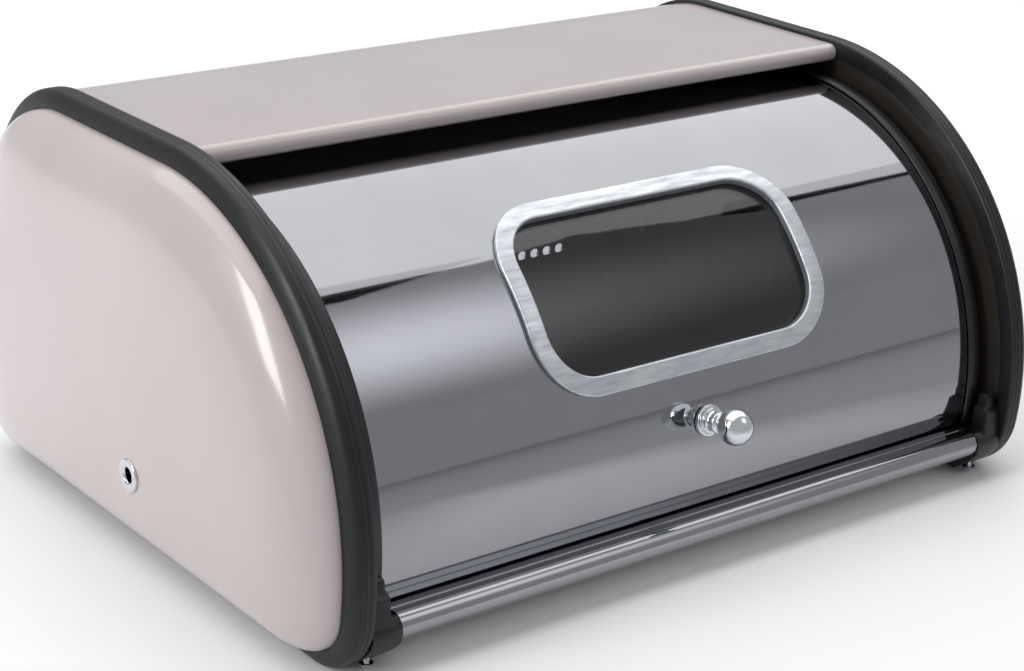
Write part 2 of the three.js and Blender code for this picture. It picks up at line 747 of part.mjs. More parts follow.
// Both ends of the bin.
const bushX = lidSideX + touchGap;
const spacerInX = bushX + 1.1 + touchGap;
const eyeletInX = lidHalf - 4.3;
for (const side of [-1, 1]) {
  const end = side < 0 ? "left" : "right";
  const pivot = [0, pivotY, pivotZ];
  const axis = [side, 0, 0];
  add(`end_cap_${end}`, endCap(side), taupe, 0.28, 0.12);
  add(`end_plate_${end}`, endPlate(side), taupe, 0.3, 0.15);
  add(`edge_ring_${end}`, edgeRing(side), black, 0.42, 0.0);
  add(`corner_block_${end}`, cornerBlock(side), "#202125", 0.36, 0.0);
  add(`corner_screw_${end}`, turned(
    [[0, -1.9], [1.8, -1.8], [2.9, -1.1], [3, -touchGap], [1.5, -touchGap], [1.5, 8.4], [0, 9]],
    [side * blockScrewX, blockScrewY, panZ], [0, 0, 1], 16), steel, 0.3, 1.0);
  add(`lid_buffer_${end}`, turned(
    [[0, 0], [2.1, 0], [2.2, 0.4], [2.1, bufferTall - 0.6], [1.6, bufferTall - 0.1], [0, bufferTall]],
    [side * (lidTrimX - 2.6), lidFootY + bufferSetback, seatZ + touchGap], [0, 0, 1], 16), "#1d1e20", 0.7, 0.0);
  add(`lid_side_${end}`, lidSide(side), steel, 0.2, 1.0);
  add(`lid_trim_${end}`, lidTrim(side), black, 0.35, 0.0);
  add(`pivot_eyelet_${end}`, turned(
    [[eyeletBore, eyeletInX], [pivotRadius, eyeletInX], [pivotRadius, capFaceX + touchGap],
      [eyeletFlange, capFaceX + touchGap], [eyeletFlange + 0.1, capFaceX + 0.8],
      [eyeletFlange - 0.5, capFaceX + 1.4], [eyeletFlange - 1.4, capFaceX + 1.6],
      [eyeletBore + 1, capFaceX + 1.5], [eyeletBore + 0.2, capFaceX + 1.0],
      [eyeletBore, capFaceX + 0.2]],
    pivot, axis, 32), chrome, 0.12, 1.0);
  add(`pivot_spacer_${end}`, turned(
    [[pivotRadius + touchGap, spacerInX], [7, spacerInX], [7, capFaceX - capThick - touchGap],
      [pivotRadius + touchGap, capFaceX - capThick - touchGap]],
    pivot, axis, 28), "#303136", 0.5, 0.0);
  add(`pivot_bush_${end}`, turned(
    [[pivotRadius + pivotRun, lidHalf - 1], [bushOuter, lidHalf - 1], [bushOuter, bushX],
      [9, bushX], [9, bushX + 1.1], [pivotRadius + pivotRun, bushX + 1.1]],
    pivot, axis, 48), "#e6e4df", 0.5, 0.0);
  add(`pivot_washer_${end}`, turned(
    [[pivotRadius + touchGap, lidHalf - 2.3], [9, lidHalf - 2.3], [9, lidHalf - 1.3],
      [pivotRadius + touchGap, lidHalf - 1.3]],
    pivot, axis, 28), steel, 0.3, 1.0);
  add(`pivot_cap_${end}`, turned(
    [[0, eyeletInX - 3.4], [5.6, eyeletInX - 3.2], [7.2, eyeletInX - 2], [7.4, lidHalf - 2.6],
      [pivotRadius + touchGap, lidHalf - 2.6], [pivotRadius + touchGap, eyeletInX - touchGap],
      [0, eyeletInX - touchGap]],
    pivot, axis, 28), black, 0.45, 0.0);
}

export default root;
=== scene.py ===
import json
import math

import bmesh
import bpy
from mathutils import Euler, Matrix, Vector


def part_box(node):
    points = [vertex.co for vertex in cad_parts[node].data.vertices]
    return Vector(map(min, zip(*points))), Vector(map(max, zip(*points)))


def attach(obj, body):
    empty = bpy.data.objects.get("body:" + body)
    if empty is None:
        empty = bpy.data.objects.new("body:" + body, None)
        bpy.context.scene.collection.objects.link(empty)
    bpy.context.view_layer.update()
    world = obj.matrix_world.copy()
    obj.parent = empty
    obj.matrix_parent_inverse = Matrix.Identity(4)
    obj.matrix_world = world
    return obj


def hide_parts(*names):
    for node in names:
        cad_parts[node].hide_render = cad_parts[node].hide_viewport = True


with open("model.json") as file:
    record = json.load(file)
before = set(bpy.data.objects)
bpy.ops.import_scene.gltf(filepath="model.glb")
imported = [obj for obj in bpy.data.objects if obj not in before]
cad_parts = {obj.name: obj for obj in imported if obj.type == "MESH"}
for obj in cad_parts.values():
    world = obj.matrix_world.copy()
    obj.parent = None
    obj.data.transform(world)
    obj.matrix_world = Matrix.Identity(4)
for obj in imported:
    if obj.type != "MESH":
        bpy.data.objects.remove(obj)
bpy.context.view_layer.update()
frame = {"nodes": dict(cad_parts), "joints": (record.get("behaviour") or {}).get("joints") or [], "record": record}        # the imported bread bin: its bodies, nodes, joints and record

mm = 0.001
near = 0.01 * mm                                     # points this close count as one place
housing = "housing"
lidBody = "lid"
ends = (("left", -1), ("right", 1))                  # each end's name and its side of the middle
pivot = Vector(frame["joints"][0]["pos_m"])          # a point on the lid's pivot axis, which runs along X
ringLow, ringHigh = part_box("edge_ring_right")
print("stage: frame loaded,", len(frame["nodes"]), "nodes")


# Small helpers for working by hand in edit mode.
def clearHands():
    if bpy.context.object and bpy.context.object.mode != "OBJECT":
        bpy.ops.object.mode_set(mode="OBJECT")
    bpy.ops.object.select_all(action="DESELECT")


def hold(piece):
    clearHands()
    piece.select_set(True)
    bpy.context.view_layer.objects.active = piece


def edit(piece):
    hold(piece)
    bpy.ops.object.mode_set(mode="EDIT")


def leaveEdit():
    bpy.ops.object.mode_set(mode="OBJECT")


def takeAll():
    bpy.ops.mesh.select_all(action="SELECT")


def takeNone(kind):
    bpy.ops.mesh.select_mode(type=kind)
    bpy.ops.mesh.select_all(action="DESELECT")


def extrudeBy(x, y, z):
    bpy.ops.mesh.extrude_region_move(TRANSFORM_OT_translate={"value": (x, y, z)})


def pick(piece, kind, test):
    # selects faces by their middle and normal, or edges by their middle and direction
    takeNone(kind)
    shape = bmesh.from_edit_mesh(piece.data)
    if kind == "EDGE":
        corners = [(e, e.verts[0].co, e.verts[1].co) for e in shape.edges]
        found = [e for e, a, b in corners if test((a + b) / 2, b - a)]
    else:
        found = [f for f in shape.faces if test(f.calc_center_median(), f.normal)]
    for part in found:
        part.select_set(True)
    shape.select_flush_mode()
    bmesh.update_edit_mesh(piece.data)


def startPoint(name, x, y, z):
    # one vertex, in edit mode, to draw a line from
    clearHands()
    bpy.ops.mesh.primitive_plane_add(size=mm)
    piece = bpy.context.object
    piece.name = name
    bpy.ops.object.mode_set(mode="EDIT")
    bpy.ops.mesh.select_mode(type="VERT")
    takeAll()
    bpy.ops.mesh.merge(type="CENTER")
    bpy.ops.transform.translate(value=(x, y, z))
    return piece


def runTo(y0, z0, y1, z1, steps=1):
    # draws on by the difference between the two points, so an unchanged coordinate may be 0 in both
    for _ in range(steps):
        extrudeBy(0, (y1 - y0) / steps, (z1 - z0) / steps)


def turnAbout(y, z, degrees, steps):
    # positive goes from the foot to the front, over the top and down the back
    bpy.ops.mesh.spin(steps=steps, angle=math.radians(degrees), center=(0, y, z), axis=(1, 0, 0))


def pullOut(x, steps=1):
    for _ in range(steps):
        extrudeBy(x / steps, 0, 0)


def weld(piece, gap=0.005 * mm):
    edit(piece)
    bpy.ops.mesh.select_mode(type="VERT")
    takeAll()
    bpy.ops.mesh.remove_doubles(threshold=gap)
    bpy.ops.mesh.normals_make_consistent(inside=False)
    leaveEdit()


def applyModifier(piece, kind, **settings):
    hold(piece)
    tool = piece.modifiers.new("tool", kind)
    for name, value in settings.items():
        setattr(tool, name, value)
    bpy.ops.object.modifier_apply(modifier=tool.name)


def thicken(piece, thick, facesOut):
    # gives a sheet its wall on the side away from its outer face
    applyModifier(piece, "SOLIDIFY", thickness=thick * mm, offset=-1.0 if facesOut else 1.0)


def cutWith(piece, cutter):
    applyModifier(piece, "BOOLEAN", operation="DIFFERENCE", solver="EXACT", object=cutter)
    bpy.data.objects.remove(cutter)


def settle(piece):
    hold(piece)
    bpy.ops.object.transform_apply(location=True, rotation=True, scale=True)


def rod(radius, long, place, turn, sides):
    clearHands()
    bpy.ops.mesh.primitive_cylinder_add(vertices=sides, radius=radius * mm, depth=long * mm,
                                        location=place, rotation=turn)
    piece = bpy.context.object
    settle(piece)
    return piece


# Side outline of the bin in millimetres, drawn in from its edge by an inset.
sideShape = {"front": 140, "frontFoot": 31, "backTop": 74, "backFoot": 30}
leastBend = 6                                        # no bend gets tighter than this, however far in
binTall = (ringHigh.z - ringLow.z) / mm
binDeep = (ringHigh.y - ringLow.y) / mm
midY = (ringHigh.y + ringLow.y) / 2 / mm


def outlineCorners(inset):
    # the bends' centres, the bottom and top lines, and the angle of the front foot's bend
    radius = {k: max(v - inset, leastBend) for k, v in sideShape.items()}
    centre = {"front": (pivot.y / mm, pivot.z / mm)}
    low, high, rear = inset, binTall - inset, midY + binDeep / 2 - inset
    footZ = low + radius["frontFoot"]
    rise = centre["front"][1] - footZ
    reach = math.sqrt((radius["front"] - radius["frontFoot"]) ** 2 - rise ** 2)
    centre["frontFoot"] = (centre["front"][0] - reach, footZ)
    centre["backTop"] = (rear - radius["backTop"], high - radius["backTop"])
    centre["backFoot"] = (rear - radius["backFoot"], low + radius["backFoot"])
    swing = 90 - math.degrees(math.atan2(rise, reach))
    return centre, low, high, swing


# How many steps each bend and each straight run of the outline is drawn in.
bendSteps = {"frontFoot": 16, "front": 80, "backTop": 40, "backFoot": 16}
straightSteps = {"bottom": 8, "top": 4, "back": 6}


def drawOutline(name, x, inset):
    # a closed loop of edges round the side outline
    centre, low, _, swing = outlineCorners(inset)
    points = {k: (v[0] * mm, v[1] * mm) for k, v in centre.items()}
    piece = startPoint(name, x, points["backFoot"][0], low * mm)
    runTo(points["backFoot"][0], 0, points["frontFoot"][0], 0, straightSteps["bottom"])
    turnAbout(*points["frontFoot"], swing, bendSteps["frontFoot"])
    turnAbout(*points["front"], 180 - swing, bendSteps["front"])
    runTo(points["front"][0], 0, points["backTop"][0], 0, straightSteps["top"])
    turnAbout(*points["backTop"], 90, bendSteps["backTop"])
    runTo(0, points["backTop"][1], 0, points["backFoot"][1], straightSteps["back"])
    turnAbout(*points["backFoot"], 90, bendSteps["backFoot"])
    takeAll()
    bpy.ops.mesh.remove_doubles(threshold=near)
    return piece


# Materials. Colours are sRGB hex, turned to linear here; scales are real sizes in millimetres.
def colour(text):
    parts = [int(text[i:i + 2], 16) / 255 for i in (1, 3, 5)]
    return [c / 12.92 if c <= 0.04045 else ((c + 0.055) / 1.055) ** 2.4 for c in parts] + [1.0]


def addNode(tree, kind, sockets=None, **settings):
    made = tree.nodes.new(kind)
    for name, value in settings.items():
        setattr(made, name, value)
    for name, value in (sockets or {}).items():
        if isinstance(value, bpy.types.NodeSocket):
            tree.links.new(value, made.inputs[name])
        else:
            made.inputs[name].default_value = value
    return made


def newMaterial(name, **shaderValues):
    material = bpy.data.materials.new(name)
    material.use_nodes = True
    tree = material.node_tree
    tree.nodes.clear()
    shader = addNode(tree, "ShaderNodeBsdfPrincipled")
    for socket, value in shaderValues.items():
        shader.inputs[socket.replace("_", " ")].default_value = value
    addNode(tree, "ShaderNodeOutputMaterial", {"Surface": shader.outputs["BSDF"]})
    place = addNode(tree, "ShaderNodeTexCoord").outputs["Object"]
    return material, tree, shader, place


def grain(tree, place, size, stretch=(1, 1, 1), detail=3.0, rough=0.55):
    # noise whose cells are size millimetres across, drawn out along an axis by stretch
    mapped = addNode(tree, "ShaderNodeMapping", {"Vector": place, "Scale": [1 / s for s in stretch]})
    noise = addNode(tree, "ShaderNodeTexNoise", {
        "Vector": mapped.outputs["Vector"], "Scale": 1 / (size * mm), "Detail": detail, "Roughness": rough})
    return noise.outputs["Fac"]


def spread(tree, value, low, high, fromLow=0.3, fromHigh=0.7):
    ranged = addNode(tree, "ShaderNodeMapRange", {
        "Value": value, "From Min": fromLow, "From Max": fromHigh, "To Min": low, "To Max": high})
    return ranged.outputs["Result"]


def blendColour(tree, value, first, second):
    mixed = addNode(tree, "ShaderNodeMix", data_type="RGBA")
    tree.links.new(value, mixed.inputs[0])
    mixed.inputs[6].default_value = colour(first)
    mixed.inputs[7].default_value = colour(second)
    return mixed.outputs[2]


def bump(tree, shader, height, deep):
    # deep is the relief in millimetres
    node = addNode(tree, "ShaderNodeBump", {"Height": height, "Distance": deep * mm, "Strength": 1.0})
    tree.links.new(node.outputs["Normal"], shader.inputs["Normal"])


def stovedEnamel(name, light, dark):
    # sprayed and baked on sheet steel: an even satin gloss with the faintest orange peel
    material, tree, shader, place = newMaterial(name, IOR=1.5, Coat_Weight=1.0, Coat_Roughness=0.13)
    cloud = spread(tree, grain(tree, place, 90, detail=2), 0, 1)
    tree.links.new(blendColour(tree, cloud, light, dark), shader.inputs["Base Color"])
    tree.links.new(spread(tree, grain(tree, place, 26), 0.3, 0.38), shader.inputs["Roughness"])
    bump(tree, shader, grain(tree, place, 1.6, detail=2), 0.006)
    return material


def buffedSteel(name, light, dark, shine=(0.035, 0.075), ripple=0.010):
    # cold-rolled stainless sheet buffed to a mirror: fine rub lines along it,
    # and a slow ripple in what it reflects
    material, tree, shader, place = newMaterial(name, Metallic=1.0)
    cloud = spread(tree, grain(tree, place, 55, detail=4), 0, 1)
    tree.links.new(blendColour(tree, cloud, light, dark), shader.inputs["Base Color"])
    rub = grain(tree, place, 0.7, stretch=(40, 1, 1), detail=2)
    tree.links.new(spread(tree, rub, *shine), shader.inputs["Roughness"])
    bump(tree, shader, grain(tree, place, 70, stretch=(2, 1, 1), detail=1), ripple)
    return material


def platedMetal(name, light, dark, shine, size=8):
    # bright plating over a turned or pressed piece: nearly clean, with faint handling haze
    material, tree, shader, place = newMaterial(name, Metallic=1.0)
    cloud = spread(tree, grain(tree, place, size, detail=4), 0, 1)
    tree.links.new(blendColour(tree, cloud, light, dark), shader.inputs["Base Color"])
    tree.links.new(spread(tree, cloud, *shine, 0, 1), shader.inputs["Roughness"])
    return material


def castAlloy(name):
    # satin cast zinc alloy: pale, dull silver with short polishing streaks and tiny casting pits
    material, tree, shader, place = newMaterial(name, Metallic=1.0)
    streak = grain(tree, place, 2.2, stretch=(9, 1, 1.6), detail=5, rough=0.7)
    tone = blendColour(tree, spread(tree, streak, 0, 1), "#b4b8be", "#e2e4e8")
    tree.links.new(tone, shader.inputs["Base Color"])
    tree.links.new(spread(tree, streak, 0.5, 0.32), shader.inputs["Roughness"])
    bump(tree, shader, grain(tree, place, 0.9, detail=4, rough=0.7), 0.05)
    return material


def mouldedPlastic(name, light, dark, rough, relief=0.02, size=0.5):
    # moulded thermoplastic: an even colour and a fine satin grain
    material, tree, shader, place = newMaterial(name, IOR=1.49)
    cloud = spread(tree, grain(tree, place, 18, detail=3), 0, 1)
    tree.links.new(blendColour(tree, cloud, light, dark), shader.inputs["Base Color"])
    patch = grain(tree, place, 7, detail=4)
    tree.links.new(spread(tree, patch, rough - 0.05, rough + 0.06), shader.inputs["Roughness"])
    bump(tree, shader, grain(tree, place, size, detail=2), relief)
    return material


def tintedAcrylic(name):
    # cast acrylic sheet with a light smoke tint: clear, with a hard, wet gloss
    material, tree, shader, place = newMaterial(name, IOR=1.49, Transmission_Weight=1.0)
    cloud = spread(tree, grain(tree, place, 60, detail=2), 0, 1)
    tree.links.new(blendColour(tree, cloud, "#b4b3b9", "#afaeb5"), shader.inputs["Base Color"])
    tree.links.new(spread(tree, grain(tree, place, 12, detail=4), 0.0, 0.02), shader.inputs["Roughness"])
    return material


finish = {
    "taupe_paint": stovedEnamel("taupeStovedEnamel", "#bcb0af", "#b6aaa9"),
    # the apron's pale enamel is partly its own cream colour and partly painted light, lightened to stand in
    # for light thrown up from the white floor
    "apron_paint": stovedEnamel("paleStovedEnamel", "#d6cfcb", "#cfc8c4"),
    "dark_enamel": stovedEnamel("darkGlossEnamel", "#2e2926", "#272320"),
    "mirror_steel": buffedSteel("mirrorBuffedSteel", "#9c9da1", "#97989c"),
    "side_steel": buffedSteel("rolledSteelPlate", "#a9abb0", "#9c9ea4", shine=(0.2, 0.34), ripple=0.02),
    "zinc_steel": platedMetal("brightZincPlate", "#c2c5c9", "#aeb1b6", (0.2, 0.34), 5),
    "chrome": platedMetal("brightChromePlate", "#dcdee2", "#d2d5da", (0.015, 0.05)),
    "bezel_alloy": castAlloy("satinCastAlloy"),
    "smoked_pane": tintedAcrylic("smokedAcrylic"),
    "black_ring": mouldedPlastic("blackRingPvc", "#0e0f12", "#0a0b0d", 0.4),
    "black_plastic": mouldedPlastic("blackMouldedAbs", "#0c0d10", "#08090b", 0.36),
    "white_nylon": mouldedPlastic("naturalNylon", "#ebe8df", "#e0ddd3", 0.42),
    "buffer_rubber": mouldedPlastic("blackBufferRubber", "#1b1b1d", "#141415", 0.75, 0.05, 0.8),
}
slotOf = {part["node"]: part["material_slot"] for part in frame["record"]["subparts"]}


def coat(piece, slotName):
    piece.data.materials.clear()
    piece.data.materials.append(finish[slotName])


def make(piece, body, nodes, slotName, sharp):
    # finishes a piece: its material, its smooth faces, the body it rides on, and hiding the imported nodes
    # it replaces
    coat(piece, slotName)
    hold(piece)
    bpy.ops.object.shade_smooth_by_angle(angle=math.radians(sharp))
    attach(piece, body)
    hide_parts(*nodes)


print("stage: materials")


# Body shell: the rolled lip, the flat top, the back and the turned-in foot, from one painted sheet.
shell = {"inset": 2.0, "thick": 1.0, "lip": 4.2, "lipForward": 5.0, "roll": 255, "rollSteps": 44,
         "footRun": 10, "topSteps": 6, "backSteps": 4, "acrossSteps": 24,
         "vent": 2.7, "ventPitch": 8.6, "ventRow": 8, "ventOuter": 147, "ventUp": 6, "ventTool": 8,
         "plug": 1.2, "plugRim": 0.8}


def makeShell():
    low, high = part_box("body_shell")
    centre, _, top, _ = outlineCorners(shell["inset"])
    lipY = pivot.y - shell["lipForward"] * mm
    lipR = shell["lip"] * mm
    lipZ = top * mm - lipR
    start = math.radians(90 + shell["roll"])
    piece = startPoint("bodyShell", low.x, lipY + lipR * math.cos(start), lipZ + lipR * math.sin(start))
    turnAbout(lipY, lipZ, shell["roll"], shell["rollSteps"])
    backTop = [c * mm for c in centre["backTop"]]
    backFoot = [c * mm for c in centre["backFoot"]]
    runTo(lipY, 0, backTop[0], 0, shell["topSteps"])
    turnAbout(*backTop, 90, bendSteps["backTop"])
    runTo(0, backTop[1], 0, backFoot[1], shell["backSteps"])
    turnAbout(*backFoot, 90, bendSteps["backFoot"])
    runTo(backFoot[0], 0, backFoot[0] - (shell["footRun"] + shell["inset"]) * mm, 0)
    takeAll()
    pullOut(high.x - low.x, shell["acrossSteps"])
    weld(piece)
    # the back wall's faces tell which way the sheet looks
    back = max(piece.data.polygons, key=lambda f: f.center.y)
    thicken(piece, shell["thick"], back.normal.y > 0)
    weld(piece)
    return piece


def ventTool(x, y, z):
    return rod(shell["vent"], shell["ventTool"], (x, y, z), (math.pi / 2, 0, 0), 40)


def lipPlug(x):
    # closes one end of the rolled lip
    top = outlineCorners(shell["inset"])[2] * mm
    place = (x, pivot.y - shell["lipForward"] * mm, top - shell["lip"] * mm)
    plug = rod(shell["lip"] - 0.5 * shell["thick"], shell["plug"], place, (0, math.pi / 2, 0), 64)
    edit(plug)
    pick(plug, "FACE", lambda at, normal: abs(normal.x) > 0.9)
    bpy.ops.mesh.inset(thickness=shell["plugRim"] * mm)
    leaveEdit()
    return plug


bodyShell = makeShell()
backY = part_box("body_shell")[1].y
ventZ = (sideShape["backFoot"] + shell["ventUp"]) * mm
ventTools = [ventTool(sideSign * (shell["ventOuter"] - i * shell["ventPitch"]) * mm, backY, ventZ)
             for sideSign in (-1, 1) for i in range(shell["ventRow"])]
clearHands()
for tool in ventTools:
    tool.select_set(True)
bpy.context.view_layer.objects.active = ventTools[0]
bpy.ops.object.join()
cutWith(bodyShell, ventTools[0])
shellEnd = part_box("body_shell")[1].x
plugs = [lipPlug(endSign * (shellEnd - shell["plug"] / 2 * mm)) for endSign in (-1, 1)]
hold(bodyShell)
for plug in plugs:
    plug.select_set(True)
bpy.ops.object.join()
make(bodyShell, housing, ["body_shell"], "taupe_paint", 35)
print("stage: body shell")


# Front sill: a mirror-polished strip, flat on top, with a small step before its rolled front edge.
sill = {"thick": 0.8, "nose": 6.0, "fall": 0.2, "roll": 190, "rollEnd": 95, "rollSteps": 64,
        "ledge": 3.4, "step": 0.5, "brief": 0.35}


def makeSill():
    low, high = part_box("front_sill")
    r = sill["nose"] * mm
    y, z = low.y + r, high.z - sill["fall"] * mm - r
    start, end = math.radians(sill["rollEnd"] + sill["roll"]), math.radians(sill["rollEnd"])
    piece = startPoint("frontSill", low.x, y + r * math.cos(start), z + r * math.sin(start))
    turnAbout(y, z, sill["roll"], sill["rollSteps"])
    endY, endZ = y + r * math.cos(end), z + r * math.sin(end)
    ledgeY = endY + sill["ledge"] * mm
    ledgeZ = high.z - sill["step"] * mm
    # short faces beside the bends keep the flats' reflections straight
    brief = sill["brief"] * mm
    points = [(endY, endZ), (endY + brief, (endZ * 5 + ledgeZ) / 6), (ledgeY - brief, ledgeZ),
              (ledgeY, ledgeZ), (ledgeY + 0.2 * mm, ledgeZ + 0.1 * mm),
              (ledgeY + 0.35 * mm, high.z - 0.1 * mm), (ledgeY + 0.55 * mm, high.z),
              (ledgeY + 0.55 * mm + brief, high.z), (high.y - brief, high.z), (high.y, high.z)]
    for (y0, z0), (y1, z1) in zip(points, points[1:]):
        runTo(y0, z0, y1, z1)
    takeAll()
    pullOut(high.x - low.x)
    weld(piece)
    top = max(piece.data.polygons, key=lambda f: f.center.z)
    thicken(piece, sill["thick"], top.normal.z > 0)
    weld(piece)
    make(piece, housing, ["front_sill"], "mirror_steel", 30)


makeSill()
print("stage: sill")


# Black edge rings: a ribbed crest and a side that slopes down to the end cap.
# The section is pairs of millimetres: out along X, and in from the side outline.
ring = {"section": [(0, 8), (0, 1.5), (0.15, 0.8), (0.6, 0.25), (1.4, 0), (2.7, 0), (3.0, 0.3),
                    (3.3, 0.34), (3.6, 0), (5.0, 0), (5.3, 0.3), (5.6, 0.34), (5.9, 0), (7.0, 0.1),
                    (8.0, 0.6), (8.9, 1.6), (9.8, 3.2), (10.5, 5.0), (11.0, 6.8), (11.2, 8)]}


def makeRing(end, sign):
    low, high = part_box("edge_ring_" + end)
    inner = max(low.x, -high.x) * sign
    section = ring["section"]
    # the loop is pulled out a millimetre for each point of the section,
    # and each row then goes to its point
    piece = drawOutline("edgeRing_" + end, inner, 0)
    pullOut(sign * (len(section) - 1) * mm, len(section) - 1)
    weld(piece)
    mesh = piece.data
    out = [v.normal.copy() for v in mesh.vertices]
    inwards = -1 if out[max(range(len(out)), key=lambda i: mesh.vertices[i].co.z)].z > 0 else 1
    for vertex, normal in zip(mesh.vertices, out):
        across, inset = section[round(abs(vertex.co.x - inner) / mm)]
        flat = Vector((0, normal.y, normal.z)).normalized() * inwards
        vertex.co = Vector((inner + sign * across * mm, vertex.co.y, vertex.co.z)) + flat * inset * mm
    edit(piece)
    takeNone("EDGE")
    bpy.ops.mesh.select_non_manifold()
    bpy.ops.mesh.bridge_edge_loops()
    weld(piece)
    make(piece, housing, ["edge_ring_" + end], "black_ring", 40)


# Domed end caps, pressed from sheet: a straight rim inside the ring, a round shoulder
# and a barely crowned face.
cap = {"inset": 8.3, "thick": 1.2, "faceIn": {"front": 58, "top": 44, "back": 42, "foot": 27}, "depth": 8,
       "shares": [0.002, 0.008, 0.018, 0.032, 0.05, 0.072, 0.1, 0.135, 0.175, 0.22, 0.275, 0.34, 0.41, 0.49,
                  0.575, 0.665, 0.76, 0.85, 0.93, 1.0],
       "crown": [(0.85, 0.16), (0.7, 0.4), (0.55, 0.62), (0.4, 0.8), (0.25, 0.92), (0.12, 0.98)],
       "leave": 2.3, "arrive": 2.1, "hole": 4.8}


def makeCap(end, sign):
    low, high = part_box("end_cap_" + end)
    rimX = max(low.x, -high.x)
    faceX = max(high.x, -low.x)
    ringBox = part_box("edge_ring_" + end)
    ringX = max(ringBox[1].x, -ringBox[0].x)
    piece = drawOutline("endCap_" + end, sign * rimX, cap["inset"])
    takeAll()
    pullOut(sign * (ringX - rimX), 2)
    face, edge = cap["faceIn"], cap["depth"]
    scaleY = 1 - (face["front"] + face["back"]) / (binDeep - 2 * edge)
    scaleZ = 1 - (face["top"] + face["foot"]) / (binTall - 2 * edge)
    # the one point that every step scales about
    frontY = midY - binDeep / 2 + edge
    heartY = (frontY + face["front"] / (1 - scaleY)) * mm
    heartZ = (edge + face["foot"] / (1 - scaleZ)) * mm
    gone = {"x": 0.0, "y": 1.0, "z": 1.0}

    def step(x, y, z):
        extrudeBy(sign * (x - gone["x"]), 0, 0)
        bpy.ops.transform.resize(value=(1, y / gone["y"], z / gone["z"]),
                                 center_override=(0, heartY, heartZ))
        gone.update(x=x, y=y, z=z)

    rise = faceX - ringX
    for share in cap["shares"]:
        x = rise * (1 - (1 - share) ** cap["leave"]) ** (1 / cap["arrive"])
        step(x, 1 - share + share * scaleY, 1 - share + share * scaleZ)
    for small, lift in cap["crown"]:
        step(rise + lift * mm, small * scaleY, small * scaleZ)
    extrudeBy(0, 0, 0)
    bpy.ops.mesh.merge(type="CENTER")
    weld(piece)
    outer = max(piece.data.polygons, key=lambda f: abs(f.center.x))
    thicken(piece, cap["thick"], outer.normal.x * sign > 0)
    weld(piece)
    cutWith(piece, rod(cap["hole"], 20, (sign * faceX, pivot.y, pivot.z), (0, math.pi / 2, 0), 48))
    make(piece, housing, ["end_cap_" + end], "taupe_paint", 40)


for end, sign in ends:
    makeRing(end, sign)
    makeCap(end, sign)
print("stage: rings and caps")


# The lid's pieces are made flat, facing the front, and rolled round the pivot axis.
# Flat z is the length along the lid from its foremost line, and flat y is depth below its outer face.
lid = {"radius": 123.0, "thick": 0.8, "rearAngle": -7.0, "hem": 5.0, "hemFold": 1.6,
       "columns": 80, "rows": 112}
lidRadius = lid["radius"] * mm
lidLow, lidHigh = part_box("lid_panel")
lidHalf = lidHigh.x
lidFrontAngle = 90 + math.degrees(math.asin((pivot.z - lidLow.z) / lidRadius))


def alongLid(angle):
    # an angle above the front of the pivot, as a length along the flat lid
    return math.radians(90 - angle) * lidRadius


def rollOnLid(piece):
    heights = [v.co.z for v in piece.data.vertices]
    turn = (max(heights) - min(heights)) / lidRadius
    applyModifier(piece, "SIMPLE_DEFORM", deform_method="BEND", deform_axis="X", angle=turn)
    piece.location = (0, pivot.y - lidRadius, pivot.z)
    settle(piece)


def flatSheet(name, halfWide, low, high, columns, rows, depth):
    clearHands()
    bpy.ops.mesh.primitive_grid_add(x_subdivisions=columns, y_subdivisions=rows, size=1)
    piece = bpy.context.object
    piece.name = name
    bpy.ops.object.mode_set(mode="EDIT")
    bpy.ops.transform.resize(value=(2 * halfWide, high - low, 1), center_override=(0, 0, 0))
    bpy.ops.transform.rotate(value=-math.pi / 2, orient_axis="X", center_override=(0, 0, 0))
    bpy.ops.transform.translate(value=(0, depth, (low + high) / 2))
    leaveEdit()
    return piece


window = {"angle": 49.9, "halfWide": 81.5, "halfHigh": 44.5, "corner": 30.0, "cornerSteps": 24,
          "sideCuts": 22, "bezel": 8.4, "proud": 2.0, "lift": 0.3, "lap": 7.0, "rim": 0.3,
          "wall": 1.6, "round": 0.8, "paneIn": 6.0, "paneDown": 1.6, "paneThick": 2.0, "paneRows": 44}


def roundedSheet(name, inset, depth):
    # a flat panel of the window's outline, drawn in by an inset, with its straight sides divided
    wide = (window["halfWide"] - inset) * mm
    tall = (window["halfHigh"] - inset) * mm
    corner = (window["corner"] - inset) * mm
    piece = flatSheet(name, wide, -tall, tall, 1, 1, depth)
    edit(piece)
    takeAll()
    bpy.ops.mesh.bevel(affect="VERTICES", offset=corner, segments=window["cornerSteps"], profile=0.5)
    longer = 2 * (tall - corner) * 0.9
    pick(piece, "EDGE", lambda at, way: way.length > longer)
    bpy.ops.mesh.subdivide(number_cuts=window["sideCuts"])
    takeAll()
    bpy.ops.transform.translate(value=(0, 0, alongLid(window["angle"])))
    return piece


def windowTool():
    reach = 6 * mm                                   # how far the tool stands out on each side of the lid
    tool = roundedSheet("windowTool", window["lap"], -reach)
    takeAll()
    extrudeBy(0, 2 * reach, 0)
    weld(tool)
    return tool


def makeLidPanel():
    low, high = alongLid(lidFrontAngle), alongLid(lid["rearAngle"])
    piece = flatSheet("lidPanel", lidHalf, low, high, lid["columns"], lid["rows"], 0)
    edit(piece)
    # the lower edge folds under and back up, as a closed hem
    pick(piece, "EDGE", lambda at, way: at.z < low + near and abs(way.z) < near)
    fold = lid["hemFold"] * mm / 2
    bpy.ops.mesh.spin(steps=8, angle=math.pi, center=(0, fold, low), axis=(-1, 0, 0))
    extrudeBy(0, 0, lid["hem"] * mm)
    weld(piece)
    outer = min(piece.data.polygons, key=lambda f: f.center.y)
    thicken(piece, lid["thick"], outer.normal.y < 0)
    cutWith(piece, windowTool())
    rollOnLid(piece)
    make(piece, lidBody, ["lid_panel"], "mirror_steel", 40)


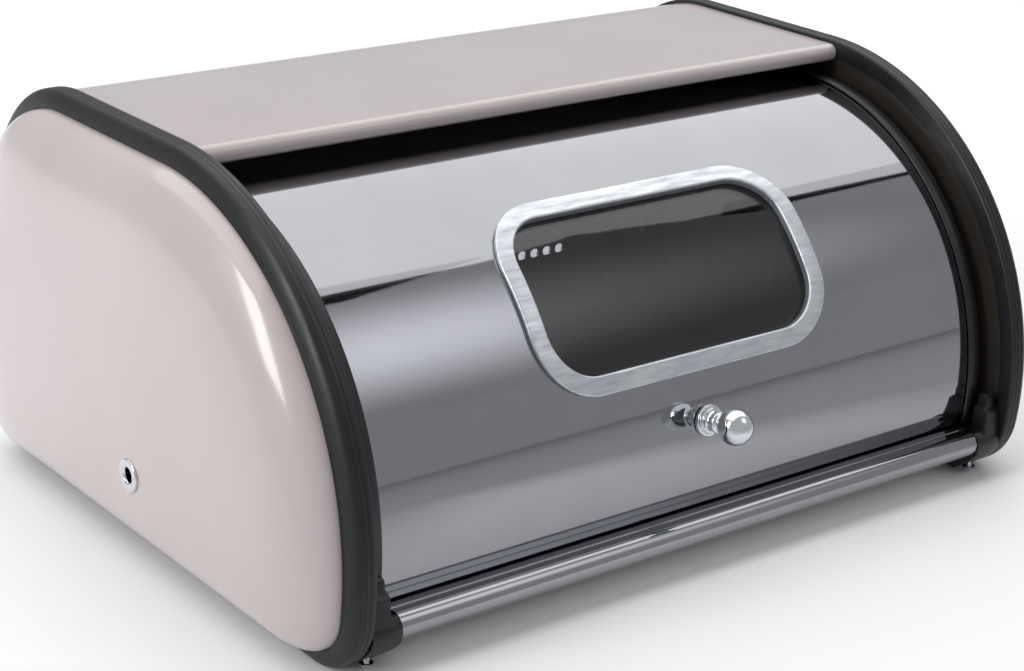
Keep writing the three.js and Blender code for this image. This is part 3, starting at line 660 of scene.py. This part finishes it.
def makeBezel():
    face = -(window["lift"] + window["proud"]) * mm
    piece = roundedSheet("windowBezel", 0, face)
    takeAll()
    bpy.ops.mesh.inset(thickness=(window["lap"] + window["rim"]) * mm)
    bpy.ops.mesh.inset(thickness=(window["bezel"] - window["lap"] - window["rim"]) * mm)
    bpy.ops.mesh.delete(type="FACE")
    # the ring's body, then the inner wall that goes down through the lid
    takeAll()
    extrudeBy(0, window["proud"] * mm, 0)
    weld(piece)
    edit(piece)
    middle = alongLid(window["angle"])
    lap = (window["lap"] + window["rim"]) * mm

    def onInnerWall(at, normal):
        wide, tall = window["halfWide"] * mm - lap, window["halfHigh"] * mm - lap
        corner = window["corner"] * mm - lap
        x, z = abs(at.x) - (wide - corner), abs(at.z - middle) - (tall - corner)
        reach = math.hypot(max(x, 0), max(z, 0)) - corner + min(max(x, z), 0)
        return normal.y > 0.5 and reach < -0.02 * mm

    pick(piece, "FACE", onInnerWall)
    extrudeBy(0, window["wall"] * mm, 0)
    # the two edges of the front face are rounded over
    takeNone("EDGE")
    shape = bmesh.from_edit_mesh(piece.data)
    for edge in shape.edges:
        flat = [f for f in edge.link_faces if f.normal.y < -0.9]
        edge.select_set(len(flat) == 1 and all(abs(v.co.y - face) < near for v in edge.verts))
    shape.select_flush_mode()
    bmesh.update_edit_mesh(piece.data)
    bpy.ops.mesh.bevel(offset=window["round"] * mm, segments=4, profile=0.5)
    weld(piece)
    rollOnLid(piece)
    make(piece, lidBody, ["window_bezel"], "bezel_alloy", 50)


def makePane():
    piece = roundedSheet("windowPane", window["paneIn"], window["paneDown"] * mm)
    middle, tall = alongLid(window["angle"]), window["halfHigh"] * mm
    for i in range(1, window["paneRows"]):
        takeAll()
        level = middle - tall + 2 * tall * i / window["paneRows"]
        bpy.ops.mesh.bisect(plane_co=(0, 0, level), plane_no=(0, 0, 1))
    weld(piece)
    thicken(piece, window["paneThick"], piece.data.polygons[0].normal.y < 0)
    weld(piece)
    rollOnLid(piece)
    make(piece, lidBody, ["window_pane"], "smoked_pane", 40)


makeLidPanel()
makeBezel()
makePane()
print("stage: lid, bezel and pane")


# Turned pieces: a profile of radius and height, spun about Z, then laid along its own axis.
def spinProfile(name, profile, steps):
    piece = startPoint(name, profile[0][0] * mm, 0, profile[0][1] * mm)
    for (r0, h0), (r1, h1) in zip(profile, profile[1:]):
        extrudeBy((r1 - r0) * mm, 0, (h1 - h0) * mm)
    takeAll()
    bpy.ops.mesh.spin(steps=steps, angle=2 * math.pi, center=(0, 0, 0), axis=(0, 0, 1))
    weld(piece, 0.002 * mm)
    return piece


def arcPoints(r, h, radius, start, stop, steps):
    angles = [math.radians(start + (stop - start) * i / steps) for i in range(steps + 1)]
    return [(max(r + radius * math.cos(a), 0), h + radius * math.sin(a)) for a in angles]


# Knob: a bell-shaped foot, a waist, a collar and a ball, turned in one and plated.
knob = {"angle": 80.8, "ball": 7.9, "ballHeight": 18.0, "neck": 3.6}


def makeKnob():
    low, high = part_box("knob")
    profile = [(0, 0.3), (6.3, 0.3)] + arcPoints(6.4, 0.9, 0.6, -90, 0, 4)
    profile += arcPoints(6.4, 1.9, 0.6, 0, 90, 4) + [(5.7, 2.55), (5.5, 2.75)]
    profile += arcPoints(5.0, 3.25, 0.5, -20, 90, 4)
    profile += [(4.4, 3.85), (3.9, 4.4), (3.6, 5.2), (3.5, 6.4), (3.6, 7.0)]
    profile += arcPoints(3.8, 8.2, 1.0, -80, 80, 8) + [(3.7, 9.5), (3.5, 9.9), (3.6, 10.4)]
    first = -math.degrees(math.acos(knob["neck"] / knob["ball"]))
    profile += arcPoints(0, knob["ballHeight"], knob["ball"], first, 90, 26)[1:]
    piece = spinProfile("knob_chrome", profile, 96)
    tilt = math.radians(knob["angle"])
    piece.rotation_euler = (tilt, 0, 0)
    seat = Vector((0, -math.sin(tilt), math.cos(tilt))) * lidRadius
    piece.location = Vector(((low.x + high.x) / 2, pivot.y, pivot.z)) + seat
    settle(piece)
    make(piece, lidBody, ["knob"], "chrome", 35)


# Pivot eyelets: a hollow rivet with a rolled, bright rim on the cap's face.
eyelet = {"bore": 3.3, "tube": 4.5, "flange": 7.2}


def makeEyelet(end, sign):
    low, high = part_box("pivot_eyelet_" + end)
    top = max(high.x, -low.x) / mm
    start = max(low.x, -high.x) / mm
    flange, bore, tube = eyelet["flange"], eyelet["bore"], eyelet["tube"]
    profile = [(bore, start), (tube, start), (tube, top - 1.3), (flange - 0.2, top - 1.3)]
    profile += arcPoints(flange - 0.6, top - 0.65, 0.65, -60, 90, 7)
    profile += arcPoints(bore + 1.3, top - 1.3, 1.3, 80, 180, 8) + [(bore, start)]
    piece = spinProfile("pivotEyelet_" + end, profile, 72)
    piece.rotation_euler = (0, sign * math.pi / 2, 0)
    piece.location = (0, pivot.y, pivot.z)
    settle(piece)
    make(piece, housing, ["pivot_eyelet_" + end], "chrome", 40)


makeKnob()
for end, sign in ends:
    makeEyelet(end, sign)
print("stage: knob and eyelets")


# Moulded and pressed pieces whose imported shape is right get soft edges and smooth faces.
pairs = ["corner_block", "lid_trim", "end_plate", "lid_side", "pivot_cap", "pivot_spacer", "pivot_bush",
         "pivot_washer", "lid_buffer", "corner_screw"]
singles = ["base_pan", "window_frame", "knob_washer", "knob_screw"]
frameScrews = 6
# the width in millimetres that each piece's edges are rounded by; the others keep theirs
softEdge = {"corner_block": 0.7, "lid_trim": 0.25, "pivot_bush": 0.15, "pivot_washer": 0.1,
            "window_frame": 0.15, "knob_washer": 0.1}


def softCopy(node, kind):
    original = frame["nodes"][node]
    words = node.split("_")
    name = words[0] + "".join(w.capitalize() for w in words[1:])
    piece = bpy.data.objects.new(name, original.data.copy())
    bpy.context.scene.collection.objects.link(piece)
    weld(piece, 0.002 * mm)
    edit(piece)
    takeAll()
    bpy.ops.mesh.dissolve_limited(angle_limit=math.radians(0.5))
    leaveEdit()
    if kind in softEdge:
        applyModifier(piece, "BEVEL", width=softEdge[kind] * mm, segments=3, limit_method="ANGLE",
                      angle_limit=math.radians(40), use_clamp_overlap=True)
    body = lidBody if node in frame["record"]["behaviour"]["bodies"][lidBody] else housing
    make(piece, body, [node], slotOf[node], 38)


for kind in pairs:
    for end, _ in ends:
        softCopy(kind + "_" + end, kind)
for node in singles:
    softCopy(node, node)
for i in range(frameScrews):
    softCopy("frame_screw_" + str(i + 1), "frame_screw")
print("stage: moulded pieces")


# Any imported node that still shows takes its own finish.
for node, piece in frame["nodes"].items():
    if not piece.hide_render:
        coat(piece, slotOf[node])


# Studio: a pale floor, painted grey beyond the bin as painted shade for the steel to reflect, a broad soft
# light overhead with two black flags at its front edge, a soft glow from the front right, a strip light on
# the left, and the camera.
# Places are in metres from the middle of the edge rings' foot.
middle = Vector((0, (ringLow.y + ringHigh.y) / 2, 0))
# the floor's grey is painted shade, laid where the floor only shows in the steel
studio = {"floor": "#f4f4f5", "grey": "#c2c2c6", "wide": 6.0, "deep": 6.0, "below": 0.05,
          "cornerX": 0.026, "cornerY": 0.292, "slope": 0.78, "edgeFrom": 0.004, "edgeTo": 0.14}
room = {"tone": "#f1f2f4", "light": 0.55}
overhead = {"place": (0.6, 0.75, 1.5), "aim": (0.6, 0.75, 0), "wide": 3.4, "tall": 2.3, "watts": 30}
strip = {"place": (-2.1, 0.0, 1.1), "aim": (-0.2, 0, 0.1), "wide": 0.6, "tall": 1.5, "watts": 24}
diffuser = {"place": (0.70, -0.98, 1.18), "aim": (-0.15, -0.11, 0.12), "size": 1.4, "light": 1.7,
            "fade": (0.68, 0.68), "tone": "#fbfbff"}
flags = {"leftFlag": ((0.50, -0.385, 1.53), -9), "rightFlag": ((1.78, -0.34, 1.53), 7)}
flagSize = (1.0, 0.2)
view = {"azimuth": 38.061, "elevation": 20.652, "roll": 2.006, "lens": 80.88, "sensor": 36.0,
        "place": (-0.62196, -0.7945, 0.44115)}


def stageSheet(name, place, wide, deep, turn=0.0, facing=None):
    clearHands()
    bpy.ops.mesh.primitive_plane_add(size=1)
    sheet = bpy.context.object
    sheet.name = name
    bpy.ops.object.mode_set(mode="EDIT")
    bpy.ops.transform.resize(value=(wide, deep, 1))
    leaveEdit()
    sheet.location = Vector(place) + middle
    sheet.rotation_euler = (0, 0, math.radians(turn))
    if facing is not None:
        sheet.rotation_euler = (Vector(facing) - Vector(place)).to_track_quat("Z", "Y").to_euler()
    return sheet


def makeFloor():
    floor = stageSheet("studioFloor", (0, 0, -studio["below"] * mm), studio["wide"], studio["deep"])
    material, tree, shader, place = newMaterial("paleStudioPaper", Roughness=0.85)
    # painted shade: white under and behind the bin, painted grey beyond it, where the floor only shows in
    # the steel's reflection
    parts = addNode(tree, "ShaderNodeSeparateXYZ", {"Vector": place}).outputs
    side = addNode(tree, "ShaderNodeMath", {0: parts["X"], 1: studio["cornerX"]}, operation="SUBTRACT")
    away = addNode(tree, "ShaderNodeMath", {0: side.outputs[0]}, operation="ABSOLUTE")
    rise = addNode(tree, "ShaderNodeMath", {0: away.outputs[0], 1: studio["slope"]}, operation="MULTIPLY")
    line = addNode(tree, "ShaderNodeMath", {0: rise.outputs[0], 1: parts["Y"]}, operation="SUBTRACT")
    tone = spread(tree, line.outputs[0], 0, 1, studio["cornerY"] + studio["edgeFrom"],
                  studio["cornerY"] + studio["edgeTo"])
    tree.links.new(blendColour(tree, tone, studio["floor"], studio["grey"]), shader.inputs["Base Color"])
    floor.data.materials.append(material)


def glowMaterial():
    # a diffuser: brightest in its middle, fading to the room's own light at its edges
    material = bpy.data.materials.new("glowDiffuser")
    material.use_nodes = True
    tree = material.node_tree
    tree.nodes.clear()
    place = addNode(tree, "ShaderNodeTexCoord").outputs["Object"]
    scale = [1 / f for f in diffuser["fade"]] + [1]
    scaled = addNode(tree, "ShaderNodeMapping", {"Vector": place, "Scale": scale})
    reach = addNode(tree, "ShaderNodeVectorMath", {0: scaled.outputs["Vector"]}, operation="LENGTH")
    drop = addNode(tree, "ShaderNodeMapRange", {
        "Value": reach.outputs["Value"], "From Min": 0.0, "From Max": 1.0, "To Min": diffuser["light"],
        "To Max": room["light"] * colour(room["tone"])[0]}, interpolation_type="SMOOTHSTEP")
    lamp = addNode(tree, "ShaderNodeEmission", {
        "Strength": drop.outputs["Result"], "Color": colour(diffuser["tone"])})
    addNode(tree, "ShaderNodeOutputMaterial", {"Surface": lamp.outputs["Emission"]})
    return material


def softBox(name, light):
    clearHands()
    bpy.ops.object.light_add(type="AREA", location=Vector(light["place"]) + middle)
    lamp = bpy.context.object
    lamp.name = name
    lamp.data.shape = "RECTANGLE"
    lamp.data.size, lamp.data.size_y = light["wide"], light["tall"]
    lamp.data.energy = light["watts"]
    way = Vector(light["aim"]) - Vector(light["place"])
    lamp.rotation_euler = way.to_track_quat("-Z", "Y").to_euler()


makeFloor()
softBox("overheadSoftBox", overhead)
softBox("leftStripBox", strip)
glow = stageSheet("frontGlow", diffuser["place"], diffuser["size"], diffuser["size"],
                  facing=diffuser["aim"])
glow.data.materials.append(glowMaterial())
flagBlack = mouldedPlastic("blackFlagCloth", "#050505", "#040404", 0.9)
for name, (at, turn) in flags.items():
    flag = stageSheet(name, at, *flagSize, turn)
    flag.data.materials.append(flagBlack)
world = bpy.data.worlds.new("paleRoom")
bpy.context.scene.world = world
world.use_nodes = True
world.node_tree.nodes["Background"].inputs["Color"].default_value = colour(room["tone"])
world.node_tree.nodes["Background"].inputs["Strength"].default_value = room["light"]
bpy.ops.object.camera_add(location=Vector(view["place"]) + middle)
camera = bpy.context.object
camera.data.sensor_width = view["sensor"]
camera.data.lens = view["lens"]
facing = Euler((math.radians(90 - view["elevation"]), 0, -math.radians(view["azimuth"]))).to_matrix()
camera.rotation_euler = (facing @ Matrix.Rotation(math.radians(view["roll"]), 3, "Z")).to_euler()
bpy.context.scene.camera = camera
bpy.context.scene.view_settings.view_transform = "Standard"
print("stage: studio")
